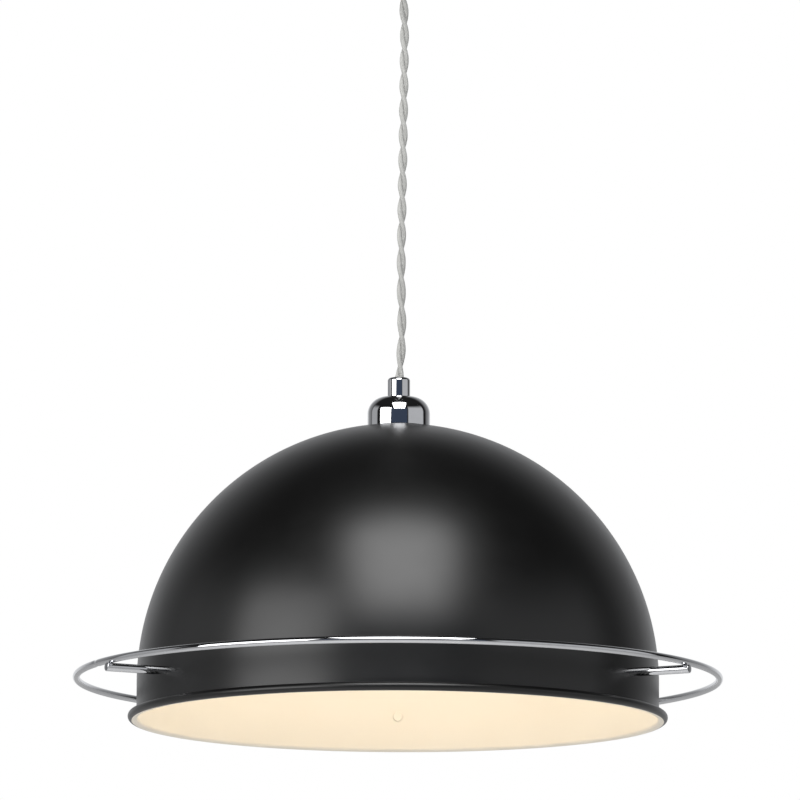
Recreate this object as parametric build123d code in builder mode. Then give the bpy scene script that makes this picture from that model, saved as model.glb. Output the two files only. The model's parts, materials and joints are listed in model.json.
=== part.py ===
from build123d import *
from math import atan2, cos, pi, radians, sin, sqrt
import os

os.makedirs("parts", exist_ok=True)

# Pendant ceiling light: a domed steel shade with a chrome halo ring, hung on a
# two-core twisted flex from a ceiling cup.  Origin: centre of the ceiling plane,
# +Z up, everything hangs below it.  Front is -Y.  Millimetres.

# ---------------------------------------------------------------- driving dimensions
# Shade
SHADE_R = 180.75            # outside radius of the hemisphere and of its skirt
SHEET = 1.0                 # spun steel sheet
SKIRT_H = 22.35             # equator down to the centre of the rolled rim
BEAD_R = 3.55               # section radius of the rolled rim
FLARE_R = 3.3               # hollow curve from the skirt into the rim
SHADE_HOLE_R = 20.2         # hole in the crown for the lampholder

# Halo ring and its rods
HALO_R = 222.5              # centreline radius
HALO_BAR_R = 2.5
ROD_R = 3.0
ROD_DROP = 1.35             # rod axis below the equator
ROD_END_R = 226.0           # outer end of a rod, from the lamp's axis
ROD_ANGLES = (-62.0, 62.0, 180.0)   # turned about +Z from the front (-Y)
SADDLE = 0.3                # depth of the welded seat between ring and rod
HEAD_R = 3.5                # low screw heads inside the shade
HEAD_H = 1.5
HEAD_GAP = 0.04             # a flat head touches the hollow wall at its edges only
SCREW_SHANK_R = 1.95
SCREW_BORE_R = 2.0
SCREW_HOLE_R = 2.25
SCREW_REACH = 9.0           # how far a rod screw goes into its rod

# Hanging flex
FLEX_R = 3.15               # round outline of the twisted pair
CORE_R = 1.25               # one insulated core, stripped of its braid
CORE_GAP = 0.1              # round a core in its terminal
FREE_FLEX = 286.5           # from the ceiling grip to the ferrule
FLEX_GAP = 0.3              # free space round the flex wherever it moves

# Lampholder stack above the crown
COVER_R = 21.65
COVER_H = 20.95
COVER_SHOULDER = 12.0
FERRULE_R = 7.8
FERRULE_H = 13.6
HOLDER_R = 19.4
HOLDER_L = 53.9
HOLDER_WALL = 2.4
STEM_R = 4.95               # M10 x 1 hollow stems, crest radius
STEM_BORE_R = 3.6

# Ceiling cup
CUP_R = 50.0
CUP_DEPTH = 26.0
CUP_SHEET = 1.0
CUP_EDGE_R = 5.0
GRIP_R = 8.0
GRIP_H = 12.0
BRACKET_W = 16.0
BRACKET_T = 1.5
BRACKET_X = 47.0            # outer face of each bent tab
TAB_H = 14.0
TAB_W = 12.0
SLOT_X = 33.0
SLOT_L = 12.0
SLOT_W = 4.5
SIDE_SCREW_Z = -9.0
SIDE_SCREW_R = 1.95
TAB_HOLE_R = 2.0
CUP_HOLE_R = 2.2
BRACKET_BEND_R = 1.2

# Lamp bulb, E27
BULB_R = 30.0
BULB_L = 106.0
CAP_R = 13.1
CAP_L = 25.0
SOCKET_R = 13.4

# ---------------------------------------------------------------- worked-out levels
FLEX_EXIT_Z = -(CUP_DEPTH + GRIP_H)
FERRULE_TOP_Z = FLEX_EXIT_Z - FREE_FLEX
COVER_TOP_Z = FERRULE_TOP_Z - FERRULE_H
COVER_FOOT_Z = COVER_TOP_Z - COVER_H
CROWN_SEAT_GAP = 0.03       # the cover's foot stands on the dome by its inner edge
COVER_BORE_R = COVER_R - SHEET
EQUATOR_Z = COVER_FOOT_Z - CROWN_SEAT_GAP - sqrt(SHADE_R**2 - COVER_BORE_R**2)
BEAD_Z = EQUATOR_Z - SKIRT_H
SHADE_BORE_R = SHADE_R - SHEET
BEAD_CENTRE_R = SHADE_BORE_R + BEAD_R
ROD_Z = EQUATOR_Z - ROD_DROP
HALO_Z = ROD_Z + ROD_R + HALO_BAR_R - SADDLE
SWING_BELOW_GRIP = 1.0
SWING_Z = FLEX_EXIT_Z - SWING_BELOW_GRIP

HOLDER_TOP_Z = COVER_TOP_Z - SHEET
HOLDER_FOOT_Z = HOLDER_TOP_Z - HOLDER_L
HOLDER_PLATE = 4.5
HOLDER_SHOULDER = 12.0
HOLDER_BORE_R = HOLDER_R - HOLDER_WALL
NIPPLE_IN_FERRULE = 5.5
NIPPLE_BELOW_PLATE = 3.5
INSERT_DROP = 15.9          # top of the holder down to the ceramic insert
NIPPLE_TOP_Z = COVER_TOP_Z + NIPPLE_IN_FERRULE
NIPPLE_FOOT_Z = HOLDER_TOP_Z - HOLDER_PLATE - NIPPLE_BELOW_PLATE
INSERT_TOP_Z = HOLDER_TOP_Z - INSERT_DROP
INSERT_H = 10.0
INSERT_FOOT_Z = INSERT_TOP_Z - INSERT_H
CONTACT_DROP = 2.4          # spring contact's face below the insert
TIP_GAP = 0.1
CONTACT_Z = INSERT_FOOT_Z - CONTACT_DROP
TIP_Z = CONTACT_Z - TIP_GAP
THREAD_GAP = 0.05           # screwed fits are plain cylinders with this radial gap
FREE_GAP = 0.15             # radial gap of a stem or screw in a clear hole
EDGE_BREAK = 0.4            # small chamfer on a turned end


def on_circle(radius, across):
    """Height at a distance across from the centre of a circle."""
    return sqrt(radius**2 - across**2)


def outward_at(angle):
    """Level unit vector turned about +Z from the front (-Y)."""
    return Vector(sin(radians(angle)), -cos(radians(angle)), 0)


def ring_tube(outer_r, inner_r, low_z, high_z):
    """Plain tube round the Z axis."""
    with BuildPart() as tube:
        with BuildSketch(Plane.XY.offset(low_z)):
            Circle(outer_r)
            Circle(inner_r, mode=Mode.SUBTRACT)
        extrude(amount=high_z - low_z)
    return tube.part


def domed_plug(radius, low_z, high_z, corner_r):
    """Cylinder round the Z axis with its upper edge rounded."""
    with BuildPart() as plug:
        with BuildSketch(Plane.XY.offset(low_z)):
            Circle(radius)
        extrude(amount=high_z - low_z)
        fillet(plug.edges().sort_by(Axis.Z)[-1], corner_r)
    return plug.part


def pan_screw(head_r, head_h, shank_r, shank_l, slot_w=0.8):
    """Slotted pan-head screw: the head stands on z = 0, the shank points down."""
    with BuildPart() as screw:
        Cylinder(head_r, head_h, align=(Align.CENTER, Align.CENTER, Align.MIN))
        fillet(screw.edges().sort_by(Axis.Z)[-1], head_h * 0.45)
        with BuildSketch(Plane.XY.offset(head_h)):
            Rectangle(3 * head_r, slot_w)
        extrude(amount=-head_h * 0.5, mode=Mode.SUBTRACT)
        Cylinder(shank_r, shank_l, align=(Align.CENTER, Align.CENTER, Align.MAX))
        chamfer(screw.edges().sort_by(Axis.Z)[0], shank_r * 0.3)
    return screw.part


def grub_screw(radius, length):
    """Slotted grub screw: from z = 0 at its slotted end down to -length."""
    with BuildPart() as grub:
        Cylinder(radius, length, align=(Align.CENTER, Align.CENTER, Align.MAX))
        chamfer(grub.edges().sort_by(Axis.Z)[0], radius * 0.35)
        with BuildSketch(Plane.XY):
            Rectangle(3 * radius, 0.5)
        extrude(amount=-0.9, mode=Mode.SUBTRACT)
    return grub.part


def core_tube(points, bend):
    """One insulated core along straight runs joined by tangent arcs."""
    with BuildPart() as core:
        with BuildLine() as route:
            FilletPolyline(*points, radius=bend)
        with BuildSketch(Plane(origin=route.line @ 0, z_dir=route.line % 0)):
            Circle(CORE_R)
        sweep(path=route.line)
    return core.part


# ================================================================ ceiling fitting
BLOCK_X = -15.0             # centre of the terminal block
BLOCK_SIZE = (18.0, 17.0, 11.0)
POLE_Y = 4.2
POLE_Z = -7.0
BLOCK_SCREW_R = 1.4
BLOCK_EDGE_R = 1.5
CLAMP_PITCH = 10.0          # between the two clamp screws of a pole
POLE_TUBE_R = 2.15
POLE_TUBE_L = 16.0
CLAMP_SCREW_R = 1.25
CLAMP_SCREW_L = 3.2

# Bent steel strap that the ceiling screws hold
with BuildPart() as ceiling_bracket:
    with BuildSketch(Plane.XY.offset(-BRACKET_T)):
        Rectangle(2 * BRACKET_X, BRACKET_W)
        with Locations((-SLOT_X, 0), (SLOT_X, 0)):
            SlotOverall(SLOT_L, SLOT_W, mode=Mode.SUBTRACT)
        with Locations((BLOCK_X, 0)):
            Circle(BLOCK_SCREW_R + THREAD_GAP, mode=Mode.SUBTRACT)
    extrude(amount=BRACKET_T)
    with BuildSketch(Plane.YZ.offset(BRACKET_X - BRACKET_T)):
        with Locations((0, -TAB_H / 2)):
            Rectangle(TAB_W, TAB_H)
        with Locations((0, SIDE_SCREW_Z)):
            Circle(TAB_HOLE_R, mode=Mode.SUBTRACT)
    extrude(amount=BRACKET_T)
    with BuildSketch(Plane.YZ.offset(BRACKET_T - BRACKET_X)):
        with Locations((0, -TAB_H / 2)):
            Rectangle(TAB_W, TAB_H)
        with Locations((0, SIDE_SCREW_Z)):
            Circle(TAB_HOLE_R, mode=Mode.SUBTRACT)
    extrude(amount=-BRACKET_T)
    fillet(ceiling_bracket.edges().filter_by(Axis.Y).group_by(Axis.Z)[-1], BRACKET_BEND_R)
ceiling_bracket.part.label = "ceiling_bracket"
export_step(ceiling_bracket.part, "parts/ceiling_bracket.step")

# Pressed cup that hides the connection
with BuildPart() as ceiling_cup:
    Cylinder(CUP_R, CUP_DEPTH, align=(Align.CENTER, Align.CENTER, Align.MAX))
    fillet(ceiling_cup.edges().sort_by(Axis.Z)[0], CUP_EDGE_R)
    offset(amount=-CUP_SHEET, openings=ceiling_cup.faces().sort_by(Axis.Z)[-1])
    with BuildSketch(Plane.XY.offset(-CUP_DEPTH)):
        Circle(STEM_R + FREE_GAP)
    extrude(amount=2 * CUP_SHEET, mode=Mode.SUBTRACT)
    with BuildSketch(Plane.YZ):
        with Locations((0, SIDE_SCREW_Z)):
            Circle(CUP_HOLE_R)
    extrude(amount=CUP_R, both=True, mode=Mode.SUBTRACT)
ceiling_cup.part.label = "ceiling_cup"
export_step(ceiling_cup.part, "parts/ceiling_cup.step")

# Two screws through the cup's wall into the bracket's tabs
SIDE_SCREW_HEAD_R = 3.6
SIDE_SCREW_HEAD_H = 2.4
SIDE_SCREW_L = 7.0
SIDE_SCREW = pan_screw(SIDE_SCREW_HEAD_R, SIDE_SCREW_HEAD_H, SIDE_SCREW_R, SIDE_SCREW_L)
with BuildPart() as cup_side_screws:
    with Locations(
        Plane(origin=(CUP_R, 0, SIDE_SCREW_Z), x_dir=(0, 1, 0), z_dir=(1, 0, 0)),
        Plane(origin=(-CUP_R, 0, SIDE_SCREW_Z), x_dir=(0, 1, 0), z_dir=(-1, 0, 0)),
    ):
        add(SIDE_SCREW)
cup_side_screws.part.label = "cup_side_screws"
export_step(cup_side_screws.part, "parts/cup_side_screws.step")

# Cord grip in the cup's floor: threaded stem, round head, bore for the flex
GRIP_STEM_TOP_Z = -17.0
FLEX_BORE_R = FLEX_R + FLEX_GAP
GRUB_R = 1.5
GRUB_L = 4.0
GRUB_SUNK = 0.4             # below the wall it screws into
GRIP_GRUB_Z = -CUP_DEPTH - 0.45 * GRIP_H
GRIP_EDGE_R = 1.6
MOUTH_R = 0.8               # rounding where the flex leaves a bore
with BuildPart() as cup_cord_grip:
    with BuildSketch(Plane.XY.offset(FLEX_EXIT_Z)):
        Circle(GRIP_R)
    extrude(amount=GRIP_H)
    fillet(cup_cord_grip.edges().sort_by(Axis.Z)[0], GRIP_EDGE_R)
    with BuildSketch(Plane.XY.offset(-CUP_DEPTH)):
        Circle(STEM_R)
    extrude(amount=GRIP_STEM_TOP_Z + CUP_DEPTH)
    with BuildSketch(Plane.XY.offset(FLEX_EXIT_Z)):
        Circle(FLEX_BORE_R)
    extrude(amount=GRIP_STEM_TOP_Z - FLEX_EXIT_Z, mode=Mode.SUBTRACT)
    mouth = cup_cord_grip.edges().filter_by(GeomType.CIRCLE)
    fillet(mouth.filter_by(lambda e: e.radius < STEM_R).sort_by(Axis.Z)[0], MOUTH_R)
    with BuildSketch(Plane.XZ.offset(-GRIP_R)):
        with Locations((0, GRIP_GRUB_Z)):
            Circle(GRUB_R + THREAD_GAP)
    extrude(amount=GRIP_R - FLEX_R, mode=Mode.SUBTRACT)
cup_cord_grip.part.label = "cup_cord_grip"
export_step(cup_cord_grip.part, "parts/cup_cord_grip.step")

# Hexagon nut that clamps the grip in the cup's floor
NUT_AF = 14.0
GRIP_NUT_H = 4.0
NUT_CHAMFER = 0.5
with BuildPart() as cup_grip_nut:
    with BuildSketch(Plane.XY.offset(CUP_SHEET - CUP_DEPTH)):
        RegularPolygon(NUT_AF / 2, 6, major_radius=False)
        Circle(STEM_R + THREAD_GAP, mode=Mode.SUBTRACT)
    extrude(amount=GRIP_NUT_H)
    chamfer(cup_grip_nut.faces().sort_by(Axis.Z)[-1].outer_wire().edges(), NUT_CHAMFER)
cup_grip_nut.part.label = "cup_grip_nut"
export_step(cup_grip_nut.part, "parts/cup_grip_nut.step")

# Grub screw that holds the flex in the grip
GRUB = grub_screw(GRUB_R, GRUB_L)
grip_grub_seat = (0, GRIP_R - GRUB_SUNK, GRIP_GRUB_Z)
with BuildPart() as cup_grip_grub:
    with Locations(Plane(origin=grip_grub_seat, x_dir=(1, 0, 0), z_dir=(0, 1, 0))):
        add(GRUB)
cup_grip_grub.part.label = "cup_grip_grub"
export_step(cup_grip_grub.part, "parts/cup_grip_grub.step")

# Two-pole terminal block under the strap
with BuildPart() as terminal_block:
    with BuildSketch(Plane.XY.offset(-BRACKET_T)):
        with Locations((BLOCK_X, 0)):
            RectangleRounded(BLOCK_SIZE[0], BLOCK_SIZE[1], BLOCK_EDGE_R)
    extrude(amount=-BLOCK_SIZE[2])
    with BuildSketch(Plane.YZ.offset(BLOCK_X)):
        with Locations((-POLE_Y, POLE_Z), (POLE_Y, POLE_Z)):
            Circle(POLE_TUBE_R + THREAD_GAP)
    extrude(amount=BLOCK_SIZE[0], both=True, mode=Mode.SUBTRACT)
    with BuildSketch(Plane.XY.offset(-BRACKET_T - BLOCK_SIZE[2])):
        with Locations((BLOCK_X, 0)):
            with GridLocations(CLAMP_PITCH, 2 * POLE_Y, 2, 2):
                Circle(CLAMP_SCREW_R + 2 * FREE_GAP)
    extrude(amount=BRACKET_T + BLOCK_SIZE[2] + POLE_Z, mode=Mode.SUBTRACT)
    with BuildSketch(Plane.XY.offset(-BRACKET_T)):
        with Locations((BLOCK_X, 0)):
            Circle(BLOCK_SCREW_R + FREE_GAP)
    extrude(amount=-BLOCK_SIZE[2], mode=Mode.SUBTRACT)
terminal_block.part.label = "terminal_block"
export_step(terminal_block.part, "parts/terminal_block.step")

# Brass tubes inside the block, one a pole
with BuildPart() as terminal_tubes:
    with BuildSketch(Plane.YZ.offset(BLOCK_X)):
        with Locations((-POLE_Y, POLE_Z), (POLE_Y, POLE_Z)):
            Circle(POLE_TUBE_R)
            Circle(CORE_R + CORE_GAP, mode=Mode.SUBTRACT)
    extrude(amount=POLE_TUBE_L / 2, both=True)
    with BuildSketch(Plane.XY.offset(-BRACKET_T - BLOCK_SIZE[2])):
        with Locations((BLOCK_X, 0)):
            with GridLocations(CLAMP_PITCH, 2 * POLE_Y, 2, 2):
                Circle(CLAMP_SCREW_R + THREAD_GAP)
    extrude(amount=BRACKET_T + BLOCK_SIZE[2] + POLE_Z, mode=Mode.SUBTRACT)
terminal_tubes.part.label = "terminal_tubes"
export_step(terminal_tubes.part, "parts/terminal_tubes.step")

# Four clamp screws of the block
CLAMP_SCREW = grub_screw(CLAMP_SCREW_R, CLAMP_SCREW_L)
CLAMP_SCREW_Z = POLE_Z - CORE_R - CLAMP_SCREW_L - 2 * CORE_GAP
with BuildPart() as terminal_screws:
    for pole in (-POLE_Y, POLE_Y):
        for end in (-CLAMP_PITCH / 2, CLAMP_PITCH / 2):
            with Locations(Plane(origin=(BLOCK_X + end, pole, CLAMP_SCREW_Z), z_dir=(0, 0, -1))):
                add(CLAMP_SCREW)
terminal_screws.part.label = "terminal_screws"
export_step(terminal_screws.part, "parts/terminal_screws.step")

# Screw that holds the block to the strap
BLOCK_SCREW_HEAD_R = 2.4
BLOCK_SCREW_HEAD_H = 1.6
BLOCK_SCREW_L = BLOCK_SIZE[2] + BRACKET_T
BLOCK_SCREW = pan_screw(BLOCK_SCREW_HEAD_R, BLOCK_SCREW_HEAD_H, BLOCK_SCREW_R, BLOCK_SCREW_L)
with BuildPart() as block_screw:
    with Locations(Plane(origin=(BLOCK_X, 0, -BRACKET_T - BLOCK_SIZE[2]), z_dir=(0, 0, -1))):
        add(BLOCK_SCREW)
block_screw.part.label = "block_screw"
export_step(block_screw.part, "parts/block_screw.step")

# ================================================================ flex
# The flex bends where it leaves the grip.  Its end above, the round bend piece and the
# hanging length meet in spherical faces round one centre, so that it can swing both ways.
SWING_CENTRE = (0, 0, SWING_Z)
TAIL_TOP_Z = GRIP_STEM_TOP_Z - 1.5
TWIST_IN_FERRULE = 5.5      # the twist joint lies this deep in the ferrule
TWIST_Z = FERRULE_TOP_Z - TWIST_IN_FERRULE

with BuildPart() as flex_ceiling_end:
    with BuildSketch(Plane.XY.offset(SWING_Z)):
        Circle(FLEX_R)
    extrude(amount=TAIL_TOP_Z - SWING_Z)
    with Locations(SWING_CENTRE):
        Sphere(FLEX_R + FLEX_GAP, mode=Mode.SUBTRACT)
flex_ceiling_end.part.label = "flex_ceiling_end"
export_step(flex_ceiling_end.part, "parts/flex_ceiling_end.step")

with BuildPart() as flex_bend:
    with Locations(SWING_CENTRE):
        Sphere(FLEX_R)
flex_bend.part.label = "flex_bend"
export_step(flex_bend.part, "parts/flex_bend.step")

with BuildPart() as flex_drop:
    with BuildSketch(Plane.XY.offset(SWING_Z)):
        Circle(FLEX_R)
    extrude(amount=TWIST_Z - SWING_Z)
    with Locations(SWING_CENTRE):
        Sphere(FLEX_R + FLEX_GAP, mode=Mode.SUBTRACT)
flex_drop.part.label = "flex_drop"
export_step(flex_drop.part, "parts/flex_drop.step")

# Two cores from the top of the flex into the terminal block
CORE_Y = 1.5
CORE_BEND = 2.4
CORE_CLEAR = 0.5            # cores start this far above the flex's cut end
CORE_SPREAD_X = 0.6
CORE_SPREAD_Y = 1.95
CORE_SPREAD_H = 5.0
CORE_IN_TUBE = 5.0
ceiling_cores = [
    core_tube(
        [
            (0, side * CORE_Y, TAIL_TOP_Z + CORE_CLEAR),
            (CORE_SPREAD_X, side * CORE_SPREAD_Y, TAIL_TOP_Z + CORE_SPREAD_H),
            (0, side * POLE_Y, POLE_Z),
            (BLOCK_X + BLOCK_SIZE[0] / 2 - CORE_IN_TUBE, side * POLE_Y, POLE_Z),
        ],
        CORE_BEND,
    )
    for side in (-1, 1)
]
with BuildPart() as ceiling_core_pair:
    add(ceiling_cores)
ceiling_core_pair.part.label = "ceiling_core_pair"
export_step(ceiling_core_pair.part, "parts/ceiling_core_pair.step")

# ================================================================ lampholder
# Chrome ferrule: grips the flex and screws down on the nipple
FERRULE_GRUB_Z = COVER_TOP_Z + 8.3
FERRULE_EDGE_R = 2.2
with BuildPart() as cord_grip_ferrule:
    with BuildSketch(Plane.XY.offset(COVER_TOP_Z)):
        Circle(FERRULE_R)
    extrude(amount=FERRULE_H)
    fillet(cord_grip_ferrule.edges().sort_by(Axis.Z)[-1], FERRULE_EDGE_R)
    with BuildSketch(Plane.XY.offset(COVER_TOP_Z)):
        Circle(FLEX_BORE_R)
    extrude(amount=FERRULE_H, mode=Mode.SUBTRACT)
    with BuildSketch(Plane.XY.offset(COVER_TOP_Z)):
        Circle(STEM_R + THREAD_GAP)
    extrude(amount=NIPPLE_TOP_Z - COVER_TOP_Z, mode=Mode.SUBTRACT)
    mouth = cord_grip_ferrule.edges().filter_by(GeomType.CIRCLE)
    fillet(mouth.filter_by(lambda e: e.radius < STEM_R).sort_by(Axis.Z)[-1], MOUTH_R)
    with BuildSketch(Plane.XZ.offset(-FERRULE_R)):
        with Locations((0, FERRULE_GRUB_Z)):
            Circle(GRUB_R + THREAD_GAP)
    extrude(amount=FERRULE_R - FLEX_R, mode=Mode.SUBTRACT)
cord_grip_ferrule.part.label = "cord_grip_ferrule"
export_step(cord_grip_ferrule.part, "parts/cord_grip_ferrule.step")

ferrule_grub_seat = (0, FERRULE_R - GRUB_SUNK, FERRULE_GRUB_Z)
with BuildPart() as ferrule_grub:
    with Locations(Plane(origin=ferrule_grub_seat, x_dir=(1, 0, 0), z_dir=(0, 1, 0))):
        add(GRUB)
ferrule_grub.part.label = "ferrule_grub"
export_step(ferrule_grub.part, "parts/ferrule_grub.step")

# Chrome cover with a round shoulder, standing on the crown of the shade
with BuildPart() as holder_cover:
    with BuildSketch(Plane.XY.offset(COVER_FOOT_Z)):
        Circle(COVER_R)
    extrude(amount=COVER_H)
    fillet(holder_cover.edges().sort_by(Axis.Z)[-1], COVER_SHOULDER)
    offset(amount=-SHEET, openings=holder_cover.faces().sort_by(Axis.Z)[0])
    with BuildSketch(Plane.XY.offset(COVER_TOP_Z)):
        Circle(STEM_R + FREE_GAP)
    extrude(amount=-2 * SHEET, mode=Mode.SUBTRACT)
holder_cover.part.label = "holder_cover"
export_step(holder_cover.part, "parts/holder_cover.step")

# Hollow threaded nipple through the cover and the holder's top
with BuildPart() as threaded_nipple:
    add(ring_tube(STEM_R, STEM_BORE_R, NIPPLE_FOOT_Z, NIPPLE_TOP_Z))
    chamfer(threaded_nipple.faces().sort_by(Axis.Z)[-1].outer_wire().edges(), EDGE_BREAK)
    chamfer(threaded_nipple.faces().sort_by(Axis.Z)[0].outer_wire().edges(), EDGE_BREAK)
threaded_nipple.part.label = "threaded_nipple"
export_step(threaded_nipple.part, "parts/threaded_nipple.step")

# Moulded lampholder body
BORE_SHOULDER = 8.0         # rounding of the holder's bore under its top plate
HOLDER_OUTSIDE = domed_plug(HOLDER_R, HOLDER_FOOT_Z, HOLDER_TOP_Z, HOLDER_SHOULDER)
HOLDER_INSIDE = domed_plug(HOLDER_BORE_R, HOLDER_FOOT_Z, HOLDER_TOP_Z - HOLDER_PLATE, BORE_SHOULDER)
with BuildPart() as lampholder_body:
    add(HOLDER_OUTSIDE)
    add(HOLDER_INSIDE, mode=Mode.SUBTRACT)
    with BuildSketch(Plane.XY.offset(HOLDER_TOP_Z)):
        Circle(STEM_R + THREAD_GAP)
    extrude(amount=-HOLDER_PLATE, mode=Mode.SUBTRACT)
lampholder_body.part.label = "lampholder_body"
export_step(lampholder_body.part, "parts/lampholder_body.step")

# Thin hexagon nut on the nipple inside the holder
NIPPLE_NUT_H = 3.0
with BuildPart() as nipple_nut:
    with BuildSketch(Plane.XY.offset(HOLDER_TOP_Z - HOLDER_PLATE)):
        RegularPolygon(NUT_AF / 2, 6, major_radius=False)
        Circle(STEM_R + THREAD_GAP, mode=Mode.SUBTRACT)
    extrude(amount=-NIPPLE_NUT_H)
nipple_nut.part.label = "nipple_nut"
export_step(nipple_nut.part, "parts/nipple_nut.step")

# Ceramic insert that carries the contacts
INSERT_R = HOLDER_BORE_R - 0.1
INSERT_CHAMFER = 1.0
with BuildPart() as ceramic_insert:
    with BuildSketch(Plane.XY.offset(INSERT_FOOT_Z)):
        Circle(INSERT_R)
    extrude(amount=INSERT_H)
    chamfer(ceramic_insert.edges().group_by(Axis.Z)[-1], INSERT_CHAMFER)
ceramic_insert.part.label = "ceramic_insert"
export_step(ceramic_insert.part, "parts/ceramic_insert.step")

# Brass terminals on the insert, with their screws
TERMINAL_X = 10.0
CORE_SPARE = 2.0            # the wire hole goes on past the core's end
TERMINAL_SIZE = (6.0, 7.0, 4.4)
TERMINAL_WIRE_Z = INSERT_TOP_Z + 2.0
TERMINAL_SCREW_R = 1.25
with BuildPart() as holder_terminals:
    with BuildSketch(Plane.XY.offset(INSERT_TOP_Z)):
        with Locations((-TERMINAL_X, 0), (TERMINAL_X, 0)):
            Rectangle(TERMINAL_SIZE[0], TERMINAL_SIZE[1])
    extrude(amount=TERMINAL_SIZE[2])
    with BuildSketch(Plane.YZ):
        with Locations((0, TERMINAL_WIRE_Z)):
            Circle(CORE_R + CORE_GAP)
    extrude(amount=TERMINAL_X + CORE_SPARE, both=True, mode=Mode.SUBTRACT)
    with BuildSketch(Plane.XY.offset(INSERT_TOP_Z + TERMINAL_SIZE[2])):
        with Locations((-TERMINAL_X, 0), (TERMINAL_X, 0)):
            Circle(TERMINAL_SCREW_R + THREAD_GAP)
    extrude(amount=TERMINAL_WIRE_Z - INSERT_TOP_Z - TERMINAL_SIZE[2], mode=Mode.SUBTRACT)
holder_terminals.part.label = "holder_terminals"
export_step(holder_terminals.part, "parts/holder_terminals.step")

TERMINAL_SCREW_HEAD_R = 1.9
TERMINAL_SCREW_HEAD_H = 1.2
TERMINAL_SCREW_L = 1.1
TERMINAL_SCREW = pan_screw(
    TERMINAL_SCREW_HEAD_R, TERMINAL_SCREW_HEAD_H, TERMINAL_SCREW_R, TERMINAL_SCREW_L, slot_w=0.6
)
with BuildPart() as holder_terminal_screws:
    with Locations(
        (-TERMINAL_X, 0, INSERT_TOP_Z + TERMINAL_SIZE[2]),
        (TERMINAL_X, 0, INSERT_TOP_Z + TERMINAL_SIZE[2]),
    ):
        add(TERMINAL_SCREW)
holder_terminal_screws.part.label = "holder_terminal_screws"
export_step(holder_terminal_screws.part, "parts/holder_terminal_screws.step")

# The flex's two cores, from inside the ferrule down to the terminals
holder_cores = [
    core_tube(
        [
            (side * CORE_Y, 0, TWIST_Z - FLEX_GAP),
            (side * CORE_Y, 0, TERMINAL_WIRE_Z),
            (side * TERMINAL_X, 0, TERMINAL_WIRE_Z),
        ],
        CORE_BEND,
    )
    for side in (-1, 1)
]
with BuildPart() as holder_core_pair:
    add(holder_cores)
holder_core_pair.part.label = "holder_core_pair"
export_step(holder_core_pair.part, "parts/holder_core_pair.step")

# Sprung centre contact under the insert
CONTACT_W = 6.0
CONTACT_T = 0.5
CONTACT_HELD_X = -9.0
CONTACT_BEND_X = -4.0
CONTACT_PAD_X = 2.0
CONTACT_END_X = 5.0
with BuildPart() as centre_contact:
    with BuildSketch(Plane.XZ.offset(-CONTACT_W / 2)):
        with BuildLine():
            Polyline(
                (CONTACT_HELD_X, INSERT_FOOT_Z),
                (CONTACT_BEND_X, INSERT_FOOT_Z),
                (CONTACT_PAD_X, CONTACT_Z + CONTACT_T),
                (CONTACT_END_X, CONTACT_Z + CONTACT_T),
                (CONTACT_END_X, CONTACT_Z),
                (CONTACT_PAD_X, CONTACT_Z),
                (CONTACT_BEND_X, INSERT_FOOT_Z - CONTACT_T),
                (CONTACT_HELD_X, INSERT_FOOT_Z - CONTACT_T),
                close=True,
            )
        make_face()
    extrude(amount=CONTACT_W)
centre_contact.part.label = "centre_contact"
export_step(centre_contact.part, "parts/centre_contact.step")

# Brass screw shell of the socket
SHELL_T = 0.45
SHELL_FLANGE = 1.0
SHELL_SET_BACK = 3.0        # above the holder's mouth
with BuildPart() as screw_shell:
    add(ring_tube(SOCKET_R + SHELL_T, SOCKET_R, HOLDER_FOOT_Z + SHELL_SET_BACK, INSERT_FOOT_Z))
    add(ring_tube(INSERT_R - FREE_GAP, SOCKET_R, INSERT_FOOT_Z - SHELL_FLANGE, INSERT_FOOT_Z))
screw_shell.part.label = "screw_shell"
export_step(screw_shell.part, "parts/screw_shell.step")

# Ring that screws up the lampholder and holds the shade from inside
SHADE_RING_R = 28.0
SHADE_RING_COLLAR_R = 23.5
SHADE_RING_H = 10.0
SHADE_RING_FLANGE = 2.0
SHADE_RING_TOP_Z = EQUATOR_Z + on_circle(SHADE_BORE_R, SHADE_RING_R) - THREAD_GAP
GRIP_NOTCHES = 16
NOTCH_R = 1.2
NOTCH_OUT = 0.4             # notch centres lie outside the collar's edge
with BuildPart() as shade_ring:
    with BuildSketch(Plane.XY.offset(SHADE_RING_TOP_Z)):
        Circle(SHADE_RING_COLLAR_R)
        with PolarLocations(SHADE_RING_COLLAR_R + NOTCH_OUT, GRIP_NOTCHES):
            Circle(NOTCH_R, mode=Mode.SUBTRACT)
    extrude(amount=-SHADE_RING_H)
    with BuildSketch(Plane.XY.offset(SHADE_RING_TOP_Z)):
        Circle(SHADE_RING_R)
    extrude(amount=-SHADE_RING_FLANGE)
    with BuildSketch(Plane.XY.offset(SHADE_RING_TOP_Z)):
        Circle(HOLDER_R + THREAD_GAP)
    extrude(amount=-SHADE_RING_H, mode=Mode.SUBTRACT)
shade_ring.part.label = "shade_ring"
export_step(shade_ring.part, "parts/shade_ring.step")

# ================================================================ shade
# Half section: hemisphere, straight skirt, hollow flare and rolled rim, turned round Z.
flare_rise = on_circle(FLARE_R + BEAD_R, SHADE_R + FLARE_R - BEAD_CENTRE_R)
flare_centre = Vector(SHADE_R + FLARE_R, BEAD_Z + flare_rise)
bead_centre = Vector(BEAD_CENTRE_R, BEAD_Z)
bead_top = bead_centre + (flare_centre - bead_centre).normalized() * BEAD_R
flare_mid = flare_centre + ((bead_top - flare_centre).normalized() + Vector(-1, 0)).normalized() * FLARE_R
DOME_MID = (cos(radians(45)), sin(radians(45)))

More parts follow.
